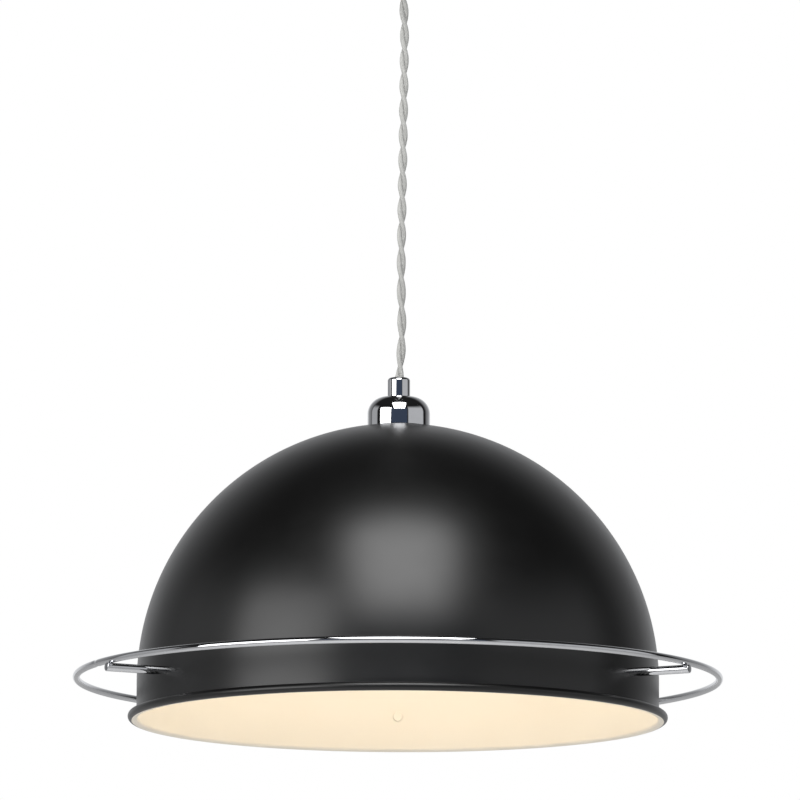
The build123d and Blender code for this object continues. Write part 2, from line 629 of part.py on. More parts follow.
with BuildPart() as shade:
    with BuildSketch(Plane.XZ):
        with BuildLine():
            ThreePointArc(
                (SHADE_HOLE_R, EQUATOR_Z + on_circle(SHADE_R, SHADE_HOLE_R)),
                (SHADE_R * DOME_MID[0], EQUATOR_Z + SHADE_R * DOME_MID[1]),
                (SHADE_R, EQUATOR_Z),
            )
            Line((SHADE_R, EQUATOR_Z), (SHADE_R, flare_centre.Y))
            ThreePointArc((SHADE_R, flare_centre.Y), flare_mid, bead_top)
            ThreePointArc(
                bead_top,
                (BEAD_CENTRE_R + BEAD_R * DOME_MID[0], BEAD_Z - BEAD_R * DOME_MID[1]),
                (SHADE_BORE_R, BEAD_Z),
            )
            Line((SHADE_BORE_R, BEAD_Z), (SHADE_BORE_R, EQUATOR_Z))
            ThreePointArc(
                (SHADE_BORE_R, EQUATOR_Z),
                (SHADE_BORE_R * DOME_MID[0], EQUATOR_Z + SHADE_BORE_R * DOME_MID[1]),
                (SHADE_HOLE_R, EQUATOR_Z + on_circle(SHADE_BORE_R, SHADE_HOLE_R)),
            )
            Line(
                (SHADE_HOLE_R, EQUATOR_Z + on_circle(SHADE_BORE_R, SHADE_HOLE_R)),
                (SHADE_HOLE_R, EQUATOR_Z + on_circle(SHADE_R, SHADE_HOLE_R)),
            )
        make_face()
    revolve(axis=Axis.Z)
    for angle in ROD_ANGLES:
        outward = outward_at(angle)
        with BuildSketch(Plane(origin=outward * SHADE_R + Vector(0, 0, ROD_Z), z_dir=outward)):
            Circle(SCREW_HOLE_R)
        extrude(amount=2 * SHEET, both=True, mode=Mode.SUBTRACT)
shade.part.label = "shade"
export_step(shade.part, "parts/shade.step")

# ================================================================ halo ring and rods
with BuildPart() as halo_ring:
    with Locations((0, 0, HALO_Z)):
        Torus(HALO_R, HALO_BAR_R)
halo_ring.part.label = "halo_ring"
export_step(halo_ring.part, "parts/halo_ring.step")

BORE_SPARE = 1.5            # a rod's bore goes on past the screw's end
ROD_SCREW = pan_screw(HEAD_R, HEAD_H, SCREW_SHANK_R, HEAD_GAP + SHEET + SCREW_REACH)

ROD_NAMES = ("halo_rod_left", "halo_rod_right", "halo_rod_back")
for angle, rod_name in zip(ROD_ANGLES, ROD_NAMES):
    outward = outward_at(angle)
    with BuildPart() as halo_rod:
        with BuildSketch(Plane(origin=outward * SHADE_R + Vector(0, 0, ROD_Z), z_dir=outward)):
            Circle(ROD_R)
        extrude(amount=ROD_END_R - SHADE_R)
        chamfer(halo_rod.faces().sort_by(lambda f: f.center().dot(outward))[-1].edges(), EDGE_BREAK)
        with BuildSketch(Plane(origin=outward * SHADE_R + Vector(0, 0, ROD_Z), z_dir=outward)):
            Circle(SCREW_BORE_R)
        extrude(amount=SCREW_REACH + BORE_SPARE, mode=Mode.SUBTRACT)
        with Locations((0, 0, HALO_Z)):
            Torus(HALO_R, HALO_BAR_R, mode=Mode.SUBTRACT)
    halo_rod.part.label = rod_name
    export_step(halo_rod.part, f"parts/{rod_name}.step")

head_planes = []
for angle in ROD_ANGLES:
    outward = outward_at(angle)
    seat = outward * (SHADE_BORE_R - HEAD_GAP) + Vector(0, 0, ROD_Z)
    head_planes.append(Plane(origin=seat, x_dir=(0, 0, 1), z_dir=outward * -1))

with BuildPart() as rod_screws:
    with Locations(*head_planes):
        add(ROD_SCREW)
rod_screws.part.label = "rod_screws"
export_step(rod_screws.part, "parts/rod_screws.step")

# ================================================================ bulb
BULB_FOOT_Z = TIP_Z - BULB_L
BALL_Z = BULB_FOOT_Z + BULB_R
TIP_STANDS = 3.4            # tip contact above the cap's metal shell
CAP_TOP_Z = TIP_Z - TIP_STANDS
CAP_FOOT_Z = TIP_Z - CAP_L
NECK_R = 12.4
GLASS_T = 0.9
GLASS_IN_CAP = 6.0
GLASS_TOP_Z = CAP_FOOT_Z + GLASS_IN_CAP
NECK_BLEND_R = 40.0

# Neck, hollow curve and ball of the envelope in half section, as a wall of even thickness
blend_x = NECK_R + NECK_BLEND_R
blend_z = BALL_Z + on_circle(BULB_R + NECK_BLEND_R, blend_x)
ball_to_blend = Vector(blend_x, blend_z - BALL_Z).normalized()
half_turn = 0.5 * atan2(ball_to_blend.Y, ball_to_blend.X)


low_side = (cos(radians(20)), -sin(radians(20)))


def envelope(ball_r, neck_r, blend_r):
    """Half section of the bulb, closed along the axis."""
    join = Vector(0, BALL_Z) + ball_to_blend * ball_r
    blend_mid = Vector(blend_x - blend_r * cos(half_turn), blend_z - blend_r * sin(half_turn))
    with BuildSketch(Plane.XZ) as section:
        with BuildLine():
            Line((0, GLASS_TOP_Z), (neck_r, GLASS_TOP_Z))
            Line((neck_r, GLASS_TOP_Z), (neck_r, blend_z))
            ThreePointArc((neck_r, blend_z), blend_mid, join)
            ThreePointArc(join, (ball_r * low_side[0], BALL_Z + ball_r * low_side[1]), (0, BALL_Z - ball_r))
            Line((0, BALL_Z - ball_r), (0, GLASS_TOP_Z))
        make_face()
    return section.sketch


OUTER_ENVELOPE = envelope(BULB_R, NECK_R, NECK_BLEND_R)
INNER_ENVELOPE = envelope(BULB_R - GLASS_T, NECK_R - GLASS_T, NECK_BLEND_R + GLASS_T)
with BuildPart() as bulb_glass:
    revolve(OUTER_ENVELOPE, axis=Axis.Z)
    revolve(INNER_ENVELOPE, axis=Axis.Z, mode=Mode.SUBTRACT)
bulb_glass.part.label = "bulb_glass"
export_step(bulb_glass.part, "parts/bulb_glass.step")

# Screw cap: a brass shell with rounded rings for the thread
THREAD_PITCH = 3.63
THREAD_RINGS = 4
THREAD_RING_R = 1.3
THREAD_FROM_TOP = 3.2
THREAD_STANDS = 0.5         # rings stand proud of the shell between them
with BuildPart() as bulb_cap:
    add(ring_tube(CAP_R - THREAD_STANDS, NECK_R + THREAD_GAP, CAP_FOOT_Z, CAP_TOP_Z))
    for ring in range(THREAD_RINGS):
        with Locations((0, 0, CAP_TOP_Z - THREAD_FROM_TOP - ring * THREAD_PITCH)):
            Torus(CAP_R - THREAD_RING_R, THREAD_RING_R)
    with BuildSketch(Plane.XY.offset(CAP_FOOT_Z)):
        Circle(NECK_R + THREAD_GAP)
    extrude(amount=CAP_TOP_Z - CAP_FOOT_Z, mode=Mode.SUBTRACT)
bulb_cap.part.label = "bulb_cap"
export_step(bulb_cap.part, "parts/bulb_cap.step")

# Black glass insulator closing the cap, and the tip contact on it
TIP_R = 4.6
TIP_H = 1.0
TIP_EDGE_R = 0.6
INSULATOR_TOP_R = 5.2
INSULATOR_IN_CAP = 1.5
with BuildPart() as bulb_insulator:
    with BuildSketch(Plane.XY.offset(CAP_TOP_Z - INSULATOR_IN_CAP)):
        Circle(NECK_R)
    extrude(amount=INSULATOR_IN_CAP)
    with BuildSketch(Plane.XY.offset(CAP_TOP_Z)):
        Circle(NECK_R)
    with BuildSketch(Plane.XY.offset(TIP_Z - TIP_H)):
        Circle(INSULATOR_TOP_R)
    loft()
bulb_insulator.part.label = "bulb_insulator"
export_step(bulb_insulator.part, "parts/bulb_insulator.step")

with BuildPart() as bulb_tip:
    with BuildSketch(Plane.XY.offset(TIP_Z - TIP_H)):
        Circle(TIP_R)
    extrude(amount=TIP_H)
    fillet(bulb_tip.edges().sort_by(Axis.Z)[-1], TIP_EDGE_R)
bulb_tip.part.label = "bulb_tip"
export_step(bulb_tip.part, "parts/bulb_tip.step")

# Glass stem with the filament carrier, inside the envelope
STEM_FOOT_Z = BALL_Z - 4.0
FLARE_TOP_Z = GLASS_TOP_Z - 3.0
FLARE_FOOT_Z = GLASS_TOP_Z - 14.0
GLASS_STEM_R = 2.2
with BuildPart() as bulb_stem:
    with BuildSketch(Plane.XY.offset(FLARE_TOP_Z)):
        Circle(NECK_R - GLASS_T - 2 * FREE_GAP)
    with BuildSketch(Plane.XY.offset(FLARE_FOOT_Z)):
        Circle(2 * GLASS_STEM_R)
    loft()
    with BuildSketch(Plane.XY.offset(FLARE_FOOT_Z)):
        Circle(GLASS_STEM_R)
    extrude(amount=STEM_FOOT_Z - FLARE_FOOT_Z)
bulb_stem.part.label = "bulb_stem"
export_step(bulb_stem.part, "parts/bulb_stem.step")

# Four light strips standing round the stem
STRIP_L = 34.0
STRIP_R = 1.1
STRIP_CIRCLE_R = 7.0
STRIPS = 4
with BuildPart() as bulb_filaments:
    with BuildSketch(Plane.XY.offset(STEM_FOOT_Z)):
        with PolarLocations(STRIP_CIRCLE_R, STRIPS):
            Circle(STRIP_R)
    extrude(amount=STRIP_L)
bulb_filaments.part.label = "bulb_filaments"
export_step(bulb_filaments.part, "parts/bulb_filaments.step")

print("equator z", round(EQUATOR_Z, 3), "bead z", round(BEAD_Z, 3), "halo z", round(HALO_Z, 3))
print("core bend radius", CORE_BEND, "core diameter", 2 * CORE_R)
drop_length = SWING_Z - TWIST_Z
drop_section = pi * FLEX_R**2
print("free flex", FREE_FLEX, "swing z", SWING_Z, "twist z", round(TWIST_Z, 3))
print("flex tube radius", FLEX_R, "volume", round(flex_drop.part.volume, 1), end=" ")
print("against section times length", round(drop_section * drop_length, 1))
print("holder top", round(HOLDER_TOP_Z, 2), "foot", round(HOLDER_FOOT_Z, 2))
print("bulb tip", round(TIP_Z, 2), "foot", round(BULB_FOOT_Z, 2))
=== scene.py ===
import json
from math import asin, atan2, cos, degrees, pi, radians, sin, sqrt, tan

import bmesh
import bpy
from mathutils import Matrix, Vector


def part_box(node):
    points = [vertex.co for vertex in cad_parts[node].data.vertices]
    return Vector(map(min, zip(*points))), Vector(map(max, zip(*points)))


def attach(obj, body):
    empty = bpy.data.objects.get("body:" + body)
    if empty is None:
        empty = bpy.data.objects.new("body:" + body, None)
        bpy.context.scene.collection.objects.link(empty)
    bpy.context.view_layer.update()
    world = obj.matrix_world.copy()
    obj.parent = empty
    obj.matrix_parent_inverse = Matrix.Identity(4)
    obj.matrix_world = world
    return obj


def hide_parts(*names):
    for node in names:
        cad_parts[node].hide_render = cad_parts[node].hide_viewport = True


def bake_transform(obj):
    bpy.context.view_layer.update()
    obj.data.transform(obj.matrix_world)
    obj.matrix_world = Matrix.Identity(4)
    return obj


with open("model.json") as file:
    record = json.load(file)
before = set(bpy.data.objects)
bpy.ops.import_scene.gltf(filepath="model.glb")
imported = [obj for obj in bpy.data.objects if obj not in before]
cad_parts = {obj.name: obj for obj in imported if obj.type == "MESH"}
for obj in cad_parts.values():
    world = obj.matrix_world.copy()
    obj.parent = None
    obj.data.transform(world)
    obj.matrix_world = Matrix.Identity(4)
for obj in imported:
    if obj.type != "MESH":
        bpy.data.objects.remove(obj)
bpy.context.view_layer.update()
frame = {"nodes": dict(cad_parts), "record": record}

MM = 0.001

# ================================================================ measures from the frame
# The light hangs down the axis x = y = 0 from the ceiling, z = 0; the front is -Y.
shade_low, shade_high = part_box("shade")
cover_low, cover_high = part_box("holder_cover")
ferrule_low, ferrule_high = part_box("cord_grip_ferrule")
grip_low, grip_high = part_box("cup_cord_grip")
cup_low, cup_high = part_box("ceiling_cup")
rod_low, rod_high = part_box("halo_rod_back")
halo_low, halo_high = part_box("halo_ring")

SHEET = 1.0 * MM
RIM_OUT = 6.1 * MM                  # how far the rolled rim stands out from the skirt
EQUATOR_UP = 25.9 * MM              # the hemisphere's equator above the foot of the shade
BEAD_DOWN = 23.2 * MM               # the rolled rim's centre below the equator
BEAD_R = 3.0 * MM                   # section radius of the rolled rim
CROWN_HOLE_R = 20.2 * MM
RIM_R = shade_high.x
SHADE_R = RIM_R - RIM_OUT
SHADE_BORE_R = SHADE_R - SHEET
EQUATOR_Z = shade_low.z + EQUATOR_UP
BEAD_X = RIM_R - BEAD_R
BEAD_Z = EQUATOR_Z - BEAD_DOWN
ROD_R = (rod_high.z - rod_low.z) / 2
ROD_Z = (rod_high.z + rod_low.z) / 2
ROD_END_R = rod_high.y
ROD_ANGLES = {"halo_rod_left": -62.0, "halo_rod_right": 62.0, "halo_rod_back": 180.0}
BAR_R = (halo_high.z - halo_low.z) / 2
HALO_Z = (halo_high.z + halo_low.z) / 2
HALO_R = halo_high.y - BAR_R


# ================================================================ mesh helpers
def new_object(name, verts, faces, materials, face_materials=None, sharp_angle=40.0):
    """A mesh object with smooth faces and sharp edges only where the surface folds."""
    mesh = bpy.data.meshes.new(name)
    mesh.from_pydata([tuple(v) for v in verts], [], faces)
    for material in materials:
        mesh.materials.append(material)
    if face_materials:
        mesh.polygons.foreach_set("material_index", face_materials)
    bm = bmesh.new()
    bm.from_mesh(mesh)
    bmesh.ops.remove_doubles(bm, verts=bm.verts, dist=1e-7)
    bmesh.ops.recalc_face_normals(bm, faces=bm.faces)
    for face in bm.faces:
        face.smooth = True
    for edge in bm.edges:
        folded = len(edge.link_faces) == 2 and edge.calc_face_angle(0) > radians(sharp_angle)
        edge.smooth = not folded
    bm.to_mesh(mesh)
    bm.free()
    piece = bpy.data.objects.new(name, mesh)
    bpy.context.scene.collection.objects.link(piece)
    return piece


def lathe(name, profile, materials, segments=96, spans=None, closed=True):
    """Turns a profile of (radius, height) points round Z. spans gives the material of each stretch."""
    count = len(profile)
    verts = []
    for step in range(segments):
        turn = 2 * pi * step / segments
        verts += [(r * cos(turn), r * sin(turn), z) for r, z in profile]
    faces, face_materials = [], []
    stretches = count if closed else count - 1
    for step in range(segments):
        here, there = step * count, (step + 1) % segments * count
        for i in range(stretches):
            j = (i + 1) % count
            if profile[i][0] < 1e-9 and profile[j][0] < 1e-9:
                continue
            if profile[i][0] < 1e-9:
                faces.append((here + i, here + j, there + j))
            elif profile[j][0] < 1e-9:
                faces.append((here + i, here + j, there + i))
            else:
                faces.append((here + i, here + j, there + j, there + i))
            face_materials.append(spans[i] if spans else 0)
    return new_object(name, verts, faces, materials, face_materials)


def arc(centre, radius, start, end, steps):
    """Points of a circular arc in the (radius, height) half plane, angles in degrees."""
    turns = [radians(start + (end - start) * k / steps) for k in range(steps + 1)]
    return [(centre[0] + radius * cos(t), centre[1] + radius * sin(t)) for t in turns]


def rounded(points, radii, steps=8):
    """A closed outline of (radius, height) points with each corner rounded by its own radius."""
    outline = []
    count = len(points)
    for i, (point, radius) in enumerate(zip(points, radii)):
        here = Vector(point)
        before = (Vector(points[i - 1]) - here).normalized()
        after = (Vector(points[(i + 1) % count]) - here).normalized()
        if radius <= 0:
            outline.append(tuple(here))
            continue
        half = before.angle(after) / 2
        centre = here + (before + after).normalized() * radius / sin(half)
        first = here + before * radius / (sin(half) / cos(half)) - centre
        last = here + after * radius / (sin(half) / cos(half)) - centre
        sweep = first.angle_signed(last)
        for k in range(steps + 1):
            turned = first.copy()
            turned.rotate(Matrix.Rotation(-sweep * k / steps, 2))
            outline.append(tuple(centre + turned))
    return outline


# ================================================================ materials
def material(name, colour, metallic=0.0, roughness=0.5, coat=0.0, coat_roughness=0.05, sheen=0.0, ior=1.5):
    """A Principled material with its even values set on the shader's own sockets."""
    made = bpy.data.materials.new(name)
    made.use_nodes = True
    shader = made.node_tree.nodes["Principled BSDF"]
    shader.inputs["Base Color"].default_value = (*colour, 1.0)
    shader.inputs["Metallic"].default_value = metallic
    shader.inputs["Roughness"].default_value = roughness
    shader.inputs["Coat Weight"].default_value = coat
    shader.inputs["Coat Roughness"].default_value = coat_roughness
    shader.inputs["Sheen Weight"].default_value = sheen
    shader.inputs["IOR"].default_value = ior
    return made


def node(made, kind, **values):
    """A new node in a material, with its attributes and input values set by name."""
    added = made.node_tree.nodes.new(kind)
    for key, value in values.items():
        if hasattr(added, key) and key not in added.inputs:
            setattr(added, key, value)
        else:
            added.inputs[key.replace("_", " ")].default_value = value
    return added


def link(made, source, output, target, socket):
    made.node_tree.links.new(source.outputs[output], target.inputs[socket])


def noise_on(made, scale, detail=3.0, roughness=0.5):
    """Noise in object space, scale in features per metre."""
    place = node(made, "ShaderNodeTexCoord")
    noise = node(made, "ShaderNodeTexNoise")
    noise.inputs["Scale"].default_value = scale
    noise.inputs["Detail"].default_value = detail
    noise.inputs["Roughness"].default_value = roughness
    link(made, place, "Object", noise, "Vector")
    return noise


def vary_roughness(made, scale, low, high, detail=3.0):
    """Roughness that wanders between two values."""
    noise = noise_on(made, scale, detail)
    spread = node(made, "ShaderNodeMapRange")
    spread.inputs["From Min"].default_value = 0.3
    spread.inputs["From Max"].default_value = 0.7
    spread.inputs["To Min"].default_value = low
    spread.inputs["To Max"].default_value = high
    link(made, noise, "Fac", spread, "Value")
    link(made, spread, "Result", made.node_tree.nodes["Principled BSDF"], "Roughness")


def vary_colour(made, scale, low, high, detail=4.0):
    """Base colour that wanders between two colours."""
    noise = noise_on(made, scale, detail)
    ramp = node(made, "ShaderNodeValToRGB")
    ramp.color_ramp.elements[0].position = 0.35
    ramp.color_ramp.elements[0].color = (*low, 1.0)
    ramp.color_ramp.elements[1].position = 0.65
    ramp.color_ramp.elements[1].color = (*high, 1.0)
    link(made, noise, "Fac", ramp, "Fac")
    link(made, ramp, "Color", made.node_tree.nodes["Principled BSDF"], "Base Color")


def bump(made, scale, distance, strength=1.0, detail=2.0):
    """Fine unevenness of the surface, distance in metres."""
    noise = noise_on(made, scale, detail)
    raised = node(made, "ShaderNodeBump")
    raised.inputs["Distance"].default_value = distance
    raised.inputs["Strength"].default_value = strength
    link(made, noise, "Fac", raised, "Height")
    link(made, raised, "Normal", made.node_tree.nodes["Principled BSDF"], "Normal")


def glow(made, colour, strength):
    shader = made.node_tree.nodes["Principled BSDF"]
    shader.inputs["Emission Color"].default_value = (*colour, 1.0)
    shader.inputs["Emission Strength"].default_value = strength


def black_paint():
    """Satin black stoving enamel with a faint orange peel."""
    made = material("black_paint", (0.0012, 0.0012, 0.0012), roughness=0.34)
    vary_colour(made, 35.0, low=(0.0010, 0.0010, 0.0010), high=(0.0014, 0.0014, 0.0014))
    vary_roughness(made, 60.0, low=0.33, high=0.35)
    bump(made, 900.0, distance=0.01 * MM, strength=0.2)
    return made


def cream_enamel():
    """Warm cream enamel inside the shade."""
    made = material("cream_enamel", (0.88, 0.81, 0.69), roughness=0.5)
    vary_colour(made, 18.0, low=(0.875, 0.803, 0.682), high=(0.885, 0.815, 0.697))
    bump(made, 500.0, distance=0.02 * MM, strength=0.25)
    return made


def chrome(name="chrome_plate"):
    """Polished chrome plate with faint wiping marks."""
    made = material(name, (0.60, 0.605, 0.62), metallic=1.0, roughness=0.05)
    vary_colour(made, 140.0, low=(0.59, 0.595, 0.61), high=(0.61, 0.615, 0.63))
    vary_roughness(made, 90.0, low=0.03, high=0.07)
    bump(made, 260.0, distance=0.01 * MM, strength=0.15)
    return made


def bare_metal(name, low, high, roughness, grain=900.0):
    """Plated or plain metal with fine grain and colour drift."""
    made = material(name, high, metallic=1.0, roughness=roughness)
    vary_colour(made, 220.0, low, high)
    vary_roughness(made, 300.0, roughness - 0.06, roughness + 0.08)
    bump(made, grain, 0.00004, 0.4)
    return made


def moulding(name, low, high, roughness, grain=1500.0, depth=0.00004):
    """Moulded plastic or ceramic."""
    made = material(name, high, roughness=roughness)
    vary_colour(made, 120.0, low, high)
    vary_roughness(made, 260.0, roughness - 0.05, roughness + 0.05)
    bump(made, grain, depth, 0.5)
    return made


def textile_braid():
    """Braided sleeve: two crossing families of yarns in a light warm grey, with painted shade darkening the
    gaps between them.
    The strand's UV map runs once round it in U and once per braid repeat in V."""
    made = material("textile_braid", (0.50, 0.52, 0.48), roughness=0.85, sheen=0.35)
    shader = made.node_tree.nodes["Principled BSDF"]
    uv = node(made, "ShaderNodeUVMap", uv_map="UVMap")
    split = node(made, "ShaderNodeSeparateXYZ")
    link(made, uv, "UV", split, "Vector")
    yarns = []
    for way in (1.0, -1.0):
        along = node(made, "ShaderNodeMath", operation="MULTIPLY")
        along.inputs[1].default_value = way
        link(made, split, "Y", along, 0)
        both = node(made, "ShaderNodeMath", operation="ADD")
        link(made, split, "X", both, 0)
        link(made, along, "Value", both, 1)
        turns = node(made, "ShaderNodeMath", operation="MULTIPLY")
        turns.inputs[1].default_value = pi * YARNS
        link(made, both, "Value", turns, 0)
        wave = node(made, "ShaderNodeMath", operation="SINE")
        link(made, turns, "Value", wave, 0)
        ridge = node(made, "ShaderNodeMath", operation="ABSOLUTE")
        link(made, wave, "Value", ridge, 0)
        yarns.append(ridge)
    weave = node(made, "ShaderNodeMath", operation="MULTIPLY")
    link(made, yarns[0], "Value", weave, 0)
    link(made, yarns[1], "Value", weave, 1)
    fluff = noise_on(made, 4000.0, 4.0, 0.7)
    mixed = node(made, "ShaderNodeMath", operation="MULTIPLY_ADD")
    mixed.inputs[1].default_value = 0.35
    link(made, fluff, "Fac", mixed, 0)
    link(made, weave, "Value", mixed, 2)
    raised = node(made, "ShaderNodeBump")
    raised.inputs["Distance"].default_value = 0.00025
    raised.inputs["Strength"].default_value = 0.8
    link(made, mixed, "Value", raised, "Height")
    link(made, raised, "Normal", shader, "Normal")
    # Colour follows the yarns' height: light warm grey on the crests, darker in the gaps between yarns,
    # which is painted shade in the grooves; the fluff noise adds random tone.
    ramp = node(made, "ShaderNodeValToRGB")
    ramp.color_ramp.elements[0].position = 0.05
    ramp.color_ramp.elements[0].color = (0.235, 0.235, 0.22, 1.0)
    ramp.color_ramp.elements[1].position = 0.75
    ramp.color_ramp.elements[1].color = (0.53, 0.53, 0.51, 1.0)
    link(made, mixed, "Value", ramp, "Fac")
    link(made, ramp, "Color", shader, "Base Color")
    return made


# ================================================================ camera
# A long lens far away, a little below the light and looking up at it.
VIEW_WIDTH = 0.5553         # what the picture spans at the light's axis
CAMERA_DISTANCE = 9.0
CAMERA_PITCH = 8.1
CAMERA_ROLL = 0.2
SENSOR = 36.0
AIM = Vector((0.8 * MM, 0.0, EQUATOR_Z + 198.7 * MM))

pitch = radians(CAMERA_PITCH)
looking = Vector((0.0, cos(pitch), sin(pitch)))
camera_data = bpy.data.cameras.new("camera")
camera_data.sensor_width = SENSOR
camera_data.lens = SENSOR * CAMERA_DISTANCE / VIEW_WIDTH
camera_data.clip_end = 200.0
camera = bpy.data.objects.new("camera", camera_data)
bpy.context.scene.collection.objects.link(camera)
camera.location = AIM - looking * CAMERA_DISTANCE
camera.rotation_mode = "QUATERNION"
roll = Matrix.Rotation(radians(CAMERA_ROLL), 3, "Z").to_quaternion()
camera.rotation_quaternion = looking.to_track_quat("-Z", "Y") @ roll
bpy.context.scene.camera = camera

# ================================================================ flex
FLEX_D = 6.3 * MM
STRAND_R = 1.56 * MM
LAY_R = FLEX_D / 2 - STRAND_R
YARNS = 8
BRAID_REPEAT = 6.0 * MM
FLEX_ROUTE = (
    (0.0, 0.0, -39.0),
    (3.2, 0.0, -60.0),
    (2.9, 0.0, -110.0),
    (1.9, 0.0, -190.0),
    (1.1, 0.0, -255.0),
    (2.2, 0.0, -292.0),
    (0.9, 0.0, -316.0),
    (0.0, 0.0, -330.0),
)
HALF_TURN = 17.5 * MM               # a strand passes from front to back in this length
LOOSE_HALF_TURN = 20.9 * MM         # and in this one near the lampholder
LOOSE_END = 60.0 * MM
TIGHT_FROM = 125.0 * MM
FIRST_CROSSING = 8.3 * MM           # above the ferrule
FLEX_STEPS = 620
STRAND_SIDES = 28
SWELLS = ((0.012, 1.9, 1), (0.010, 0.61, 2))    # share of the radius, turn per mm, shift per strand


def route_points(route, steps):
    """Points along the cord's NURBS line."""
    data = bpy.data.curves.new("flex_route", "CURVE")
    data.dimensions = "3D"
    data.resolution_u = steps // (len(route) - 1)
    spline = data.splines.new("NURBS")
    spline.points.add(len(route) - 1)
    for point, place in zip(spline.points, route):
        point.co = (*(c * MM for c in place), 1.0)
    spline.order_u = 3
    spline.use_endpoint_u = True
    holder = bpy.data.objects.new("flex_route", data)
    bpy.context.scene.collection.objects.link(holder)
    line = bpy.data.meshes.new_from_object(holder)
    points = [v.co.copy() for v in line.vertices]
    bpy.data.objects.remove(holder)
    bpy.data.meshes.remove(line)
    return points


def turn_rate(above_ferrule):
    """Twist of the pair, in radians per metre."""
    loose = (TIGHT_FROM - above_ferrule) / (TIGHT_FROM - LOOSE_END)
    loose = min(max(loose, 0.0), 1.0)
    loose = loose * loose * (3 - 2 * loose)
    return pi / (HALF_TURN + (LOOSE_HALF_TURN - HALF_TURN) * loose)


def twisted_pair(name, line, braid):
    """Two braided strands laid round each other along a line that runs down from the ceiling."""
    ferrule_top = ferrule_high.z
    turned = [0.0]
    for here, there in zip(line, line[1:]):
        turned.append(turned[-1] + turn_rate(here.z - ferrule_top) * (there - here).length)
    crossing = min(range(len(line)), key=lambda k: abs(line[k].z - ferrule_top - FIRST_CROSSING))
    start = -pi / 2 - turned[crossing]
    verts, faces, uvs = [], [], []
    for strand in (0, 1):
        first = len(verts)
        gone = 0.0
        middles = []
        for k, point in enumerate(line):
            angle = start + turned[k] + strand * pi
            middles.append(point + Vector((cos(angle), sin(angle), 0.0)) * LAY_R)
        for k, middle in enumerate(middles):
            ahead = middles[min(k + 1, len(middles) - 1)] - middles[max(k - 1, 0)]
            ahead.normalize()
            side = ahead.cross(Vector((0.0, 1.0, 0.0))).normalized()
            up = side.cross(ahead)
            if k:
                gone += (middle - middles[k - 1]).length
            swell = 1.0
            for share, rate, shift in SWELLS:
                swell += share * sin(gone / MM * rate + shift * strand)
            for s in range(STRAND_SIDES):
                around = 2 * pi * s / STRAND_SIDES
                verts.append(middle + (side * cos(around) + up * sin(around)) * STRAND_R * swell)
            if k:
                here = first + k * STRAND_SIDES
                back = here - STRAND_SIDES
                v0 = (gone - (middle - middles[k - 1]).length) / BRAID_REPEAT
                v1 = gone / BRAID_REPEAT
                for s in range(STRAND_SIDES):
                    t = (s + 1) % STRAND_SIDES
                    faces.append((back + s, back + t, here + t, here + s))
                    u0, u1 = s / STRAND_SIDES, (s + 1) / STRAND_SIDES
                    uvs += [(u0, v0), (u1, v0), (u1, v1), (u0, v1)]
        for ring in (first, first + (len(line) - 1) * STRAND_SIDES):
            faces.append(tuple(ring + s for s in range(STRAND_SIDES)))
            uvs += [(s / STRAND_SIDES, 0.0) for s in range(STRAND_SIDES)]
    mesh = bpy.data.meshes.new(name)
    mesh.from_pydata([tuple(v) for v in verts], [], faces)
    mesh.materials.append(braid)
    layer = mesh.uv_layers.new(name="UVMap")
    layer.data.foreach_set("uv", [c for uv in uvs for c in uv])
    for polygon in mesh.polygons:
        polygon.use_smooth = len(polygon.vertices) == 4
    piece = bpy.data.objects.new(name, mesh)
    bpy.context.scene.collection.objects.link(piece)
    return piece


braid = textile_braid()
flex_line = route_points(FLEX_ROUTE, FLEX_STEPS)
flex = twisted_pair("hanging_flex_pair", flex_line, braid)
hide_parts("flex_drop", "flex_bend", "flex_ceiling_end")
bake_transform(flex)

# ================================================================ shade
FLARE_R = 0.8 * MM                  # crease between the skirt and the rolled rim
LIP_R = 2.6 * MM                    # the sheet turns out under the rim
UNDERSIDE = -90.0                   # round the rim's section, in degrees
PAINT_SPLIT = -84.0                 # where the black ends and the cream begins
DOME_STEPS = 72
RIM_STEPS = 28
SHADE_SEGMENTS = 256
black = black_paint()
cream = cream_enamel()


def shade_shell():
    """Spun shell: black outside and over the rolled rim, cream inside."""
    flare_x = SHADE_R + FLARE_R
    rise = sqrt((FLARE_R + BEAD_R) ** 2 - (flare_x - BEAD_X) ** 2)
    lean = degrees(atan2(rise, flare_x - BEAD_X))
    crown = degrees(asin(CROWN_HOLE_R / SHADE_R))
    outside = arc((0.0, EQUATOR_Z), SHADE_R, 90.0 - crown, 0.0, DOME_STEPS)
    flare = arc((flare_x, BEAD_Z + rise), FLARE_R, 180.0, 180.0 + lean, 8)
    bead = arc((BEAD_X, BEAD_Z), BEAD_R, lean, PAINT_SPLIT, RIM_STEPS)
    under = arc((BEAD_X, BEAD_Z), BEAD_R, PAINT_SPLIT, UNDERSIDE, 2)[1:]
    lip = arc((SHADE_BORE_R + LIP_R, BEAD_Z - BEAD_R + LIP_R), LIP_R, 270.0, 180.0, 10)
    crown_in = degrees(asin(CROWN_HOLE_R / SHADE_BORE_R))
    inside = arc((0.0, EQUATOR_Z), SHADE_BORE_R, 0.0, 90.0 - crown_in, DOME_STEPS)
    outer = outside + flare + bead
    inner = under + lip + inside
    spans = [0] * (len(outer) - 1) + [1] * (len(inner) + 1)
    return lathe("shade_shell", outer + inner, [black, cream], segments=SHADE_SEGMENTS, spans=spans)


shade = shade_shell()
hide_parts("shade")
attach(shade, "lamp")

# ================================================================ halo ring and rods
SEAM_ANGLE = -68.0          # where the ring's ends are welded, turned from the front
SEAM_DEPTH = 0.35 * MM
SEAM_WIDTH = 0.35           # degrees
plate = chrome()


